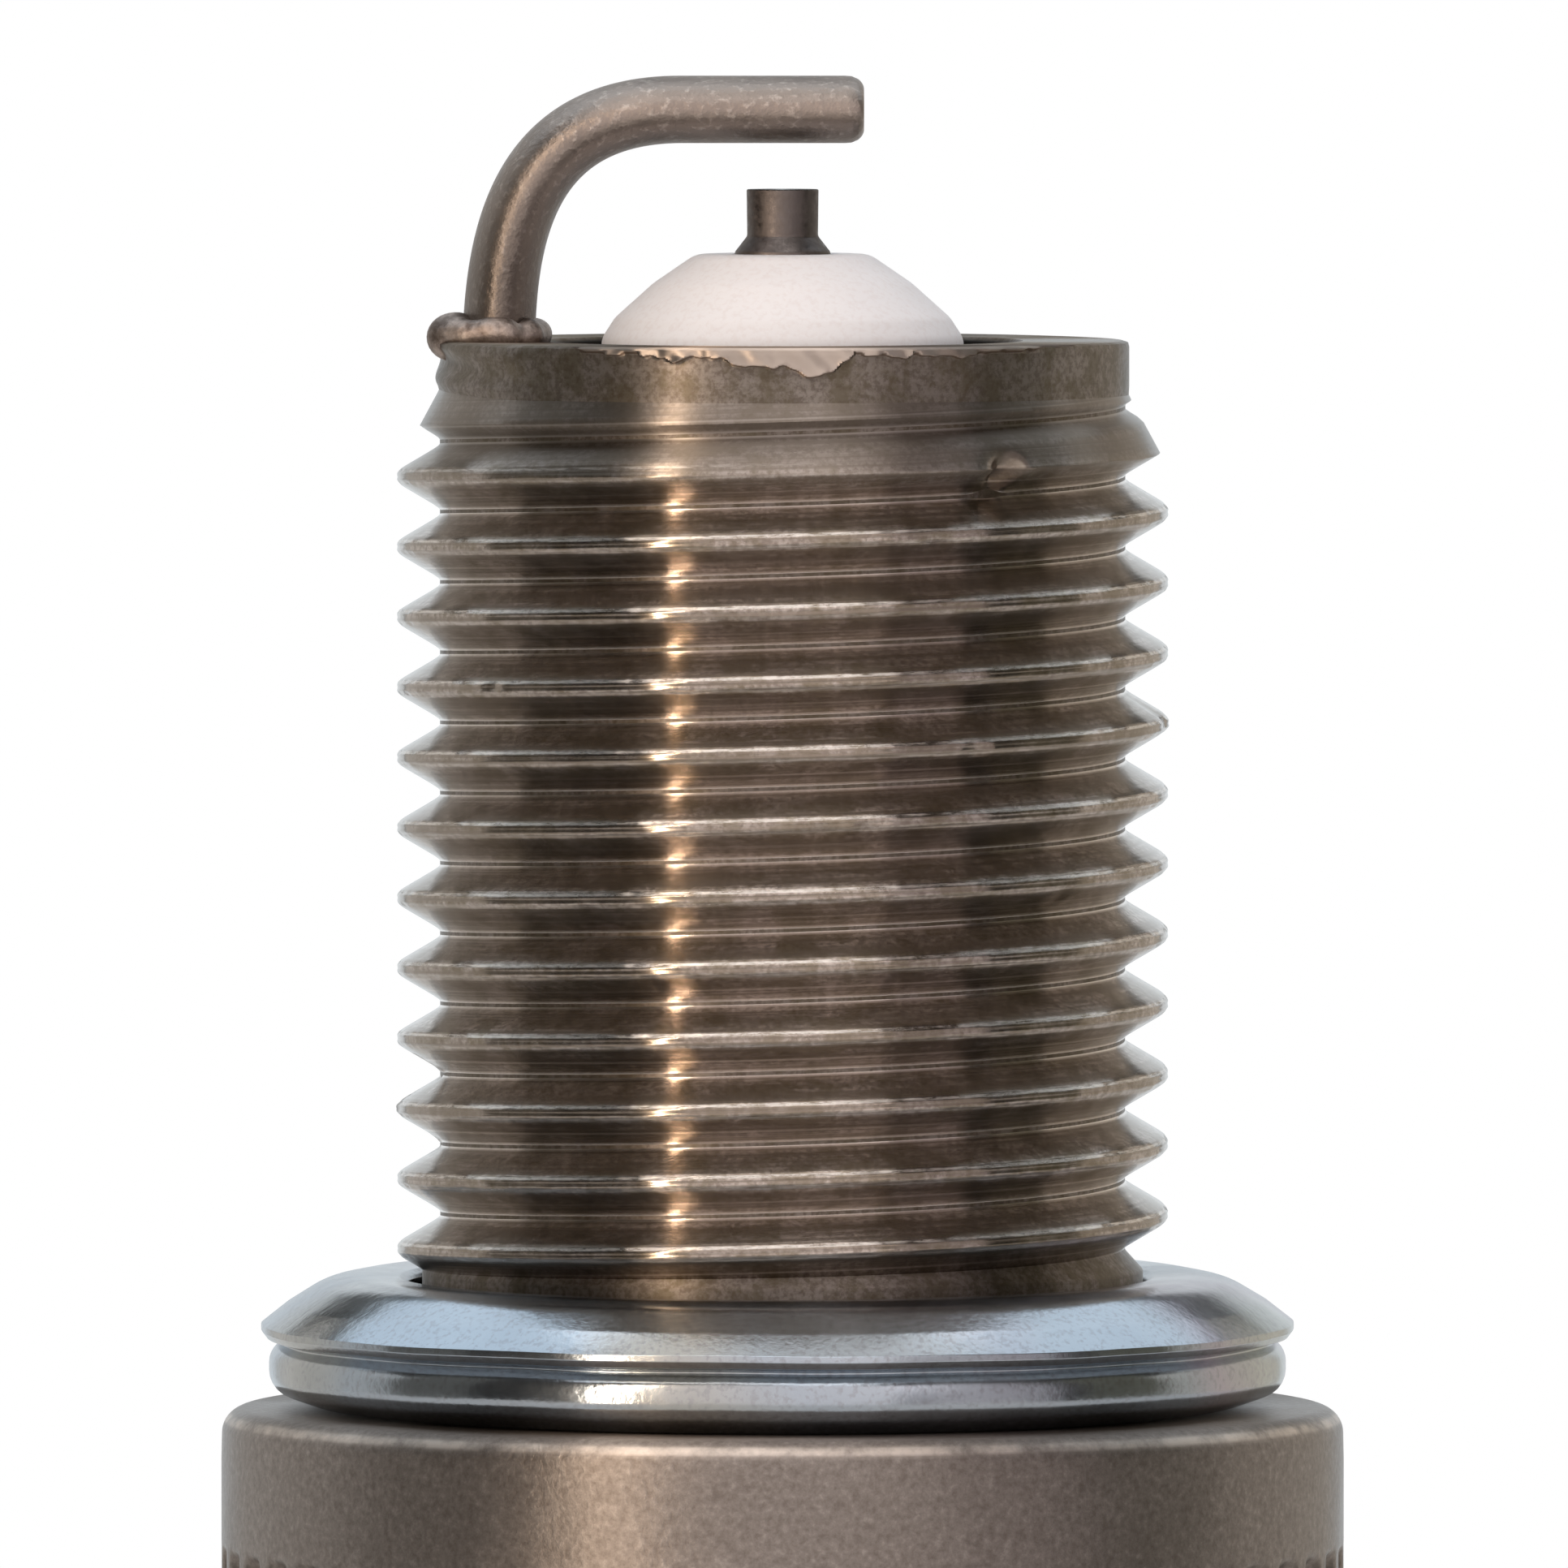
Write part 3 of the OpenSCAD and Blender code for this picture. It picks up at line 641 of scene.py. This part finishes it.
def strap_path(t):
    """Centre line in X and Z: a cubic curve from the upright leg into the level arm for t below 1,
    then straight on to the tip. Returns the points and their unit headings."""
    top = strap_top_z - tip_t / 2
    p = np.array([[leg_x, reach - 0.35], [leg_x - 0.01, reach + 1.98], [-4.57, top], [-1.8, top]])
    u = np.clip(t, 0, 1)[:, None]
    at = (1 - u) ** 3 * p[0] + 3 * (1 - u) ** 2 * u * p[1] + 3 * (1 - u) * u * u * p[2] + u ** 3 * p[3]
    at[:, 0] += np.clip(t - 1, 0, None) * (strap_tip_x - p[3][0])
    ahead = (1 - u) ** 2 * (p[1] - p[0]) + 2 * (1 - u) * u * (p[2] - p[1]) + u * u * (p[3] - p[2])
    return at, ahead / np.linalg.norm(ahead, axis=1)[:, None]


def strap_surface():
    """Rounded rectangle carried along the path: a superellipse with side lengths strap width and
    thickness, shrunk to a rounded end over the last quarter millimetre of the tip."""
    rounded_end = 2 - np.geomspace(0.03, 0.0008, 12)
    t = np.concatenate([np.linspace(0, 1, 60), np.linspace(1, 2, 30)[1:-1], rounded_end])
    at, ahead = strap_path(t)
    beside = np.stack([-ahead[:, 1], ahead[:, 0]], -1)
    left = np.clip((2 - t) * (strap_tip_x + 1.8) / 0.3, 0, 1)
    shrink = 1 - 0.42 * (1 - np.sqrt(1 - (1 - left) ** 2))
    thick = (foot_t + (tip_t - foot_t) * np.clip(t, 0, 1)) * shrink
    wide = strap_w - 0.6 * (1 - shrink)
    s = np.linspace(0, 2 * math.pi, 56, endpoint=False)
    power = 2 / 2.15
    across = np.sign(np.cos(s)) * np.abs(np.cos(s)) ** power / 2
    over = np.sign(np.sin(s)) * np.abs(np.sin(s)) ** power / 2
    x = at[:, :1] + beside[:, :1] * over * thick[:, None]
    z = at[:, 1:] + beside[:, 1:] * over * thick[:, None]
    y = across[None, :] * wide[:, None]
    return np.stack([x, np.broadcast_to(y, x.shape), z], -1)


ground_strap = add_grid("ground_strap", strap_surface(), sharp=50)
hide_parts("ground_electrode")

alloy = material("electrode_alloy", (0.34, 0.29, 0.26), 0.3)
alloy_cloud = noise(alloy, 900, detail=4)
alloy_grain = noise(alloy, 6500, detail=3, roughness=0.6)
alloy_colour = mix(alloy, alloy_cloud, (0.17, 0.142, 0.125), (0.38, 0.325, 0.29))
glints = ramp(alloy, alloy_grain, (0.54, 0.0), (0.72, 0.5))
alloy_colour = mix(alloy, glints, alloy_colour, (0.60, 0.53, 0.48))
# The leg's colour is darker towards its foot, fading out up the leg
leg_darkening = add_node(alloy, "ShaderNodeMapRange", Value=height_of(alloy))
leg_darkening.inputs["From Min"].default_value = (reach + 1.2) * MM
leg_darkening.inputs["From Max"].default_value = (reach + 3.9) * MM
leg_darkening.inputs["To Min"].default_value = 0.62
leg_darkening.inputs["To Max"].default_value = 0.0
shader_input(alloy, "Base Color", mix(alloy, leg_darkening.outputs["Result"], alloy_colour, (0.10, 0.082, 0.07)))
shader_input(alloy, "Roughness", ramp(alloy, alloy_cloud, (0.3, 0.4), (0.7, 0.52)))
bump(alloy, (alloy_cloud, 0.00001), (alloy_grain, 0.00002))
ground_strap.data.materials.append(alloy)
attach(ground_strap, "plug")

# ---------------------------------------------------------------------------------------------
# Weld flash: metal that was squeezed out, while soft, all round the foot of the strip. It froze
# as a lumpy roll with a larger bead at the outside and a drop at the inside.
# ---------------------------------------------------------------------------------------------
corner_power = 0.6


def weld_surface():
    """Lumpy roll round the strip's foot: the outline is a rounded rectangle, and the roll's radius
    and height change along it as sums of bells and small waves."""
    s = np.linspace(0, 2 * math.pi, 260, endpoint=False)
    ring_x = leg_x + np.sign(np.cos(s)) * np.abs(np.cos(s)) ** corner_power * (foot_t / 2 - 0.02)
    ring_y = np.sign(np.sin(s)) * np.abs(np.sin(s)) ** corner_power * (strap_w / 2 - 0.06)

    def bell(at, size):
        """Height 1 at the angle at in degrees, dying away over size in radians."""
        return np.exp(-(((s - math.radians(at) + math.pi) % (2 * math.pi) - math.pi) / size) ** 2)

    roll = 0.29 + 0.02 * np.sin(4 * s + 1) + 0.012 * np.sin(9 * s + 2)
    roll += 0.17 * bell(200, 0.5) + 0.05 * bell(318, 0.16) - 0.05 * bell(292, 0.16)
    rise = 0.10 + 0.05 * bell(262, 0.3) - 0.02 * bell(200, 0.45)
    q = np.linspace(0, 2 * math.pi, 32, endpoint=False)
    lumps = 1 + 0.06 * np.sin(2 * q[None, :] + 3 * s[:, None] + 1) * np.sin(5 * s[:, None])
    out = roll[:, None] * np.cos(q)[None, :] * lumps
    up = 0.95 * roll[:, None] * np.sin(q)[None, :] * lumps
    x = (ring_x - 0.17 * bell(200, 0.6))[:, None] + np.cos(s)[:, None] * out
    y = ring_y[:, None] + np.sin(s)[:, None] * out
    return np.stack([x, y, reach + rise[:, None] + up], -1)


weld_flash = add_grid("weld_flash", weld_surface()[:, ::-1], close_rows=True, sharp=80)
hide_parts("ground_weld")
weld = material("weld_scale", (0.3, 0.25, 0.22), 0.5)
weld_cloud = noise(weld, 1400, detail=5, roughness=0.65)
scale_share = ramp(weld, weld_cloud, (0.38, 0.0), (0.62, 1.0))
shader_input(weld, "Base Color", mix(weld, scale_share, (0.13, 0.10, 0.085), (0.50, 0.43, 0.39)))
shader_input(weld, "Roughness", ramp(weld, weld_cloud, (0.3, 0.42), (0.7, 0.6)))
bump(weld, (weld_cloud, 0.00005))
weld_flash.data.materials.append(weld)
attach(weld_flash, "plug")

# ---------------------------------------------------------------------------------------------
# Insulator: one piece of fired alumina. The nose at the firing end is bare and matt; the ribbed
# head outside the shell has a clear glaze.
# ---------------------------------------------------------------------------------------------
insulator_low, insulator_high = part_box("insulator")
nose_top = insulator_high[2] / MM
head_end = insulator_low[2] / MM
head_r = 5.2
rib_start = -24.5
rib_pitch = 3.3
rib_count = 5
glaze_below = -5

rib_corners = []
for k in range(rib_count):
    at = rib_start - k * rib_pitch
    rib_corners += [(head_r, at + 0.85, 0.35), (head_r - 0.62, at + 0.35, 0.35)]
    rib_corners += [(head_r - 0.62, at - 0.35, 0.35), (head_r, at - 0.85, 0.35)]
insulator_section = filleted([
    (0.9, 18.0, 0), (0.9, nose_top, 0.05), (1.54, nose_top, 0.5), (2.3, nose_top - 0.52, 1.2),
    (2.98, nose_top - 1.13, 0.6), (3.22, nose_top - 1.5, 0.45), (3.24, nose_top - 2.1, 0), (3.7, 6.4, 0),
    (3.84, 4.0, 0), (4.79, 3.1, 0), (4.79, -4.4, 0), (6.24, -5.6, 0), (6.24, -12.2, 0),
    (head_r, -13.25, 0), (head_r, -20, 0), *rib_corners, (head_r, head_end + 2.4, 0),
    (head_r - 0.15, head_end + 1.2, 0.9), (3.5, head_end, 0.4), (1.95, head_end, 0.1),
    (1.95, 2.0, 0), (0.9, 2.0, 0),
], 5)
insulator_points = turned(insulator_section, 256)[:, ::-1]
insulator_body = add_grid("insulator_body", insulator_points, close_rows=True, sharp=50)
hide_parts("insulator")

alumina = material("bare_alumina", (0.92, 0.89, 0.88), 0.62, metallic=0.0, specular=0.35)
alumina_cloud = noise(alumina, 500, detail=3)
alumina_grain = noise(alumina, 9000, detail=4)
alumina_colour = mix(alumina, alumina_cloud, (0.77, 0.76, 0.785), (0.82, 0.815, 0.84))
pores = ramp(alumina, alumina_grain, (0.35, 0.3), (0.52, 0.0))
shader_input(alumina, "Base Color", mix(alumina, pores, alumina_colour, (0.68, 0.62, 0.62)))
shader_input(alumina, "Roughness", ramp(alumina, alumina_grain, (0.3, 0.55), (0.7, 0.75)))
bump(alumina, (alumina_grain, 0.000006))

glaze = material("glazed_alumina", (0.88, 0.87, 0.84), 0.12, metallic=0.0, specular=0.5)
glaze_cloud = noise(glaze, 300, detail=2)
glaze_ripple = noise(glaze, 1500, stretch=(1, 1, 0.3), detail=2)
shader_input(glaze, "Base Color", mix(glaze, glaze_cloud, (0.85, 0.84, 0.80), (0.90, 0.89, 0.87)))
shader_input(glaze, "Roughness", ramp(glaze, glaze_ripple, (0.3, 0.08), (0.7, 0.17)))
bump(glaze, (glaze_ripple, 0.000008))
insulator_body.data.materials.append(alumina)
insulator_body.data.materials.append(glaze)
centres = np.empty(len(insulator_body.data.polygons) * 3)
insulator_body.data.polygons.foreach_get("center", centres)
slots = (centres.reshape(-1, 3)[:, 2] < glaze_below * MM).astype(np.int32)
insulator_body.data.polygons.foreach_set("material_index", slots)
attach(insulator_body, "plug")

# ---------------------------------------------------------------------------------------------
# Centre electrode: nickel-alloy pin over a copper core, ground to a narrow flat tip that stands
# out of the nose on a short cone.
# ---------------------------------------------------------------------------------------------
tip_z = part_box("centre_electrode")[1][2] / MM
pin_section = filleted([
    (0.02, tip_z, 0), (0.64, tip_z, 0.025), (0.63, nose_top + 0.32, 0.12),
    (0.84, nose_top + 0.05, 0.05), (0.87, nose_top - 0.04, 0), (0.87, 18.3, 0), (1.15, 18.0, 0),
    (1.15, 2.0, 0), (1.83, 2.0, 0.1), (1.83, 1.1, 0.1), (1.1, 0.8, 0), (1.1, 0.3, 0),
    (0.6, 0.3, 0), (0.6, 0.32, 0),
], 4)
electrode_pin = add_grid("electrode_pin", turned(pin_section, 128)[:, ::-1])
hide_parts("centre_electrode")

pin_alloy = material("pin_alloy", (0.30, 0.26, 0.24), 0.34, anisotropy=0.75)
pin_cloud = noise(pin_alloy, 1800, stretch=(1, 1, 0.25), detail=4)
pin_grain = noise(pin_alloy, 8000, detail=4)
shader_input(pin_alloy, "Base Color", mix(pin_alloy, pin_cloud, (0.05, 0.043, 0.042), (0.19, 0.165, 0.155)))
shader_input(pin_alloy, "Roughness", ramp(pin_alloy, pin_grain, (0.3, 0.28), (0.7, 0.48)))
bump(pin_alloy, (pin_cloud, 0.00001), (pin_grain, 0.000005))
electrode_pin.data.materials.append(pin_alloy)
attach(electrode_pin, "plug")

# ---------------------------------------------------------------------------------------------
# Terminal stud: plated steel with a flange on the insulator's end and an M4 x 0.7 rolled thread.
# ---------------------------------------------------------------------------------------------
bright = material("bright_plate", (0.72, 0.70, 0.65), 0.2, anisotropy=0.6)
bright_cloud = noise(bright, 500, detail=3)
bright_lines = noise(bright, 900, stretch=(0.05, 0.05, 12), detail=4)
shader_input(bright, "Base Color", mix(bright, bright_cloud, (0.64, 0.615, 0.56), (0.78, 0.76, 0.71)))
shader_input(bright, "Roughness", ramp(bright, bright_lines, (0.35, 0.16), (0.65, 0.3)))
bump(bright, (bright_lines, 0.000004))

stud_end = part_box("terminal_stud")[0][2] / MM
flange_z = head_end - 0.9
stud_thread_r = 1.98
stud_root_r = 1.57
stud_pitch = 0.7
stud_section = filleted([
    (0.02, -14.2, 0), (1.3, -14.4, 0.1), (1.3, -17.6, 0), (1.7, -18.0, 0), (1.7, head_end, 0),
    (3.0, head_end, 0.1), (3.0, flange_z, 0.15), (1.56, flange_z, 0.1), (1.56, stud_end + 0.3, 0.1),
    (1.3, stud_end, 0.1), (0.02, stud_end, 0),
])
stud_core = add_grid("stud_core", turned(stud_section, 96)[:, ::-1])
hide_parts("terminal_stud")
a, r, z = thread_ridge(
    stud_thread_r, stud_root_r, stud_pitch, (0.4, 8.9), zero_z=stud_end + 0.2, lead=(flange_z, 5),
    steps=64, sunk=0.12, fade=(0.4, 0.4),
)[:3]
stud_thread = add_grid("stud_thread", np.stack([r * np.cos(a), r * np.sin(a), z], -1)[:, ::-1], sharp=60)
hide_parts("terminal_stud")
for piece in (stud_core, stud_thread):
    piece.data.materials.append(bright)
    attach(piece, "plug")

# ---------------------------------------------------------------------------------------------
# Terminal nut: turned from bar and bright plated. The plug cap's clip snaps into its waist; on a
# cap for the bare stud, the nut is unscrewed and thrown away.
# ---------------------------------------------------------------------------------------------
nut_low, nut_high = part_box("terminal_nut")
nut_end = nut_low[2] / MM
nut_base = nut_high[2] / MM
nut_r = 3.2
nut_bore_r = 2.06
nut_section = filleted([
    (nut_bore_r, nut_base - 1, 0), (nut_bore_r, nut_base, 0.1), (3.7, nut_base, 0.2),
    (3.7, nut_base - 1.4, 0.2), (2.8, nut_base - 2.05, 0.3), (2.8, nut_base - 3.3, 0.3),
    (nut_r, nut_base - 3.8, 0.2), (nut_r, nut_end + 0.65, 0.25), (nut_r - 0.7, nut_end, 0.2),
    (2.35, nut_end, 0.08), (nut_bore_r, nut_end + 0.35, 0.08), (nut_bore_r, nut_end + 2, 0),
], 5)
nut_body = add_grid("nut_body", turned(nut_section, 160)[:, ::-1], close_rows=True)
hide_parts("terminal_nut")
nut_body.data.materials.append(bright)
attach(nut_body, "nut")

# ---------------------------------------------------------------------------------------------
# Pieces sealed inside the shell and the insulator. They keep their CAD shapes and get finishes:
# copper core, fused glass, resistor, pressed talc and the steel rings.
# ---------------------------------------------------------------------------------------------
# Each finish is a dark colour, a light colour, a roughness and a share of metal
inner_finishes = {
    "centre_electrode_core": ((0.62, 0.30, 0.16), (0.80, 0.46, 0.28), 0.3, 1.0),
    "front_seal_glass": ((0.16, 0.11, 0.09), (0.34, 0.24, 0.18), 0.35, 0.0),
    "rear_seal_glass": ((0.16, 0.11, 0.09), (0.34, 0.24, 0.18), 0.35, 0.0),
    "resistor": ((0.02, 0.02, 0.022), (0.07, 0.07, 0.075), 0.5, 0.0),
    "talc_packing": ((0.72, 0.71, 0.66), (0.84, 0.83, 0.79), 0.9, 0.0),
    "seat_washer": ((0.36, 0.34, 0.31), (0.52, 0.49, 0.46), 0.35, 1.0),
    "front_wire_ring": ((0.36, 0.34, 0.31), (0.52, 0.49, 0.46), 0.35, 1.0),
    "rear_wire_ring": ((0.36, 0.34, 0.31), (0.52, 0.49, 0.46), 0.35, 1.0),
}
for node_name, (dark, light, rough, metal) in inner_finishes.items():
    finish = material("finish_" + node_name, light, rough, metallic=metal)
    clouds = noise(finish, 700, detail=4)
    grain = noise(finish, 6000, detail=3)
    shader_input(finish, "Base Color", mix(finish, clouds, dark, light))
    shader_input(finish, "Roughness", ramp(finish, grain, (0.3, rough * 0.8), (0.7, min(1.0, rough * 1.2))))
    bump(finish, (grain, 0.00001))
    node = frame["nodes"][node_name]
    node.data.materials.clear()
    node.data.materials.append(finish)

# ---------------------------------------------------------------------------------------------
# Stage: a round pale table, soft cards of light, and the camera. The plug is held by its thread, so
# the table lies below it, clear of the terminal nut when that has slid all the way off.
# ---------------------------------------------------------------------------------------------
joints = {joint["name"]: joint for joint in frame["record"]["behaviour"]["joints"]}
nut_travel = joints["terminal_nut_off"]["range_m"][1]
table_r = 0.3
table_gap = 0.002
table_z = nut_end * MM - nut_travel - table_gap
table_a = np.linspace(0, 2 * math.pi, 96, endpoint=False)
table_points = np.stack([
    np.stack([r * np.cos(table_a), r * np.sin(table_a), np.full(len(table_a), z)], -1)
    for r, z in (
        (table_r, table_z - 0.004), (table_r + 0.001, table_z - 0.002), (table_r, table_z),
        (0.1, table_z), (0.002, table_z),
    )
])
table = add_grid("table", table_points / MM)
pale = material("pale_table", (0.8, 0.79, 0.77), 0.7, metallic=0.0)
pale_cloud = noise(pale, 40, detail=2)
shader_input(pale, "Base Color", mix(pale, pale_cloud, (0.77, 0.76, 0.74), (0.82, 0.81, 0.79)))
table.data.materials.append(pale)

card_distance = 0.75


def card(name, azimuth, wide, low, high, colour, radiance):
    """Rectangular soft light at an azimuth seen from the plug (0 is the camera's side, positive to
    the right), wide degrees across and from low to high degrees in elevation, facing the plug."""
    a = math.radians(azimuth)
    middle = math.radians((low + high) / 2)
    size_x = 2 * card_distance * math.tan(math.radians(wide) / 2)
    size_y = 2 * card_distance * math.tan(math.radians(high - low) / 2)
    lamp = bpy.data.lights.new(name, "AREA")
    lamp.shape = "RECTANGLE"
    lamp.size = size_x
    lamp.size_y = size_y
    lamp.color = colour
    lamp.energy = radiance * math.pi * size_x * size_y
    light = bpy.data.objects.new(name, lamp)
    out = np.array([math.sin(a) * math.cos(middle), -math.cos(a) * math.cos(middle), math.sin(middle)])
    light.location = out * card_distance
    light.rotation_euler = (math.pi / 2 - middle, 0, a)
    light.visible_camera = False
    bpy.context.collection.objects.link(light)


card("key_strip", -37, 2, -30, 42, (1.0, 0.81, 0.62), 42)
card("front_soft", 0, 64, -14, 50, (1.0, 0.92, 0.90), 1.2)
card("front_right", 48, 32, -20, 44, (1.0, 0.89, 0.91), 0.58)
card("left_soft", -88, 24, -30, 40, (1.0, 0.95, 0.82), 0.12)
card("right_soft", 88, 24, -30, 40, (1.0, 0.92, 0.6), 0.12)
card("back_left", -128, 55, -25, 30, (0.98, 0.96, 0.92), 0.72)
card("back_right", 128, 55, -25, 30, (1.0, 0.93, 0.82), 0.68)
card("sky_left", -144, 44, 33, 70, (0.80, 0.91, 1.0), 1.4)
card("sky_right", 144, 44, 33, 70, (0.82, 0.92, 1.0), 1.35)
card("back_low", 180, 46, -25, 20, (0.9, 0.96, 1.0), 0.9)
card("overhead", -20, 50, 55, 85, (1.0, 0.98, 0.97), 2.3)
card("top_back", 180, 36, 64, 90, (1.0, 0.95, 0.90), 1.3)

# The room is nearly dark to the plug, and plain white to the camera
world = bpy.data.worlds.new("studio")
bpy.context.scene.world = world
world.use_nodes = True
tree = world.node_tree
dim = tree.nodes["Background"]
dim.inputs["Color"].default_value = (1.0, 0.95, 0.88, 1)
dim.inputs["Strength"].default_value = 0.05
white = tree.nodes.new("ShaderNodeBackground")
white.inputs["Color"].default_value = (1, 1, 1, 1)
seen = tree.nodes.new("ShaderNodeLightPath")
choose = tree.nodes.new("ShaderNodeMixShader")
tree.links.new(seen.outputs["Is Camera Ray"], choose.inputs[0])
tree.links.new(dim.outputs[0], choose.inputs[1])
tree.links.new(white.outputs[0], choose.inputs[2])
tree.links.new(choose.outputs[0], tree.nodes["World Output"].inputs["Surface"])
bpy.context.scene.view_settings.view_transform = "Standard"

# A long lens half a metre away, looking slightly down at the firing end
eye = (0.025 * MM, -0.480, 0.0303)
aim_z = 0.0111
camera = bpy.data.objects.new("camera", bpy.data.cameras.new("camera"))
camera.data.lens = 619.4
camera.data.sensor_width = 36
camera.data.clip_start = 0.01
bpy.context.collection.objects.link(camera)
camera.location = eye
pitch_down = math.atan2(eye[2] - aim_z, -eye[1])
camera.rotation_euler = (math.pi / 2 - pitch_down, 0, 0)
camera.rotation_mode = "XYZ"
bpy.context.scene.camera = camera
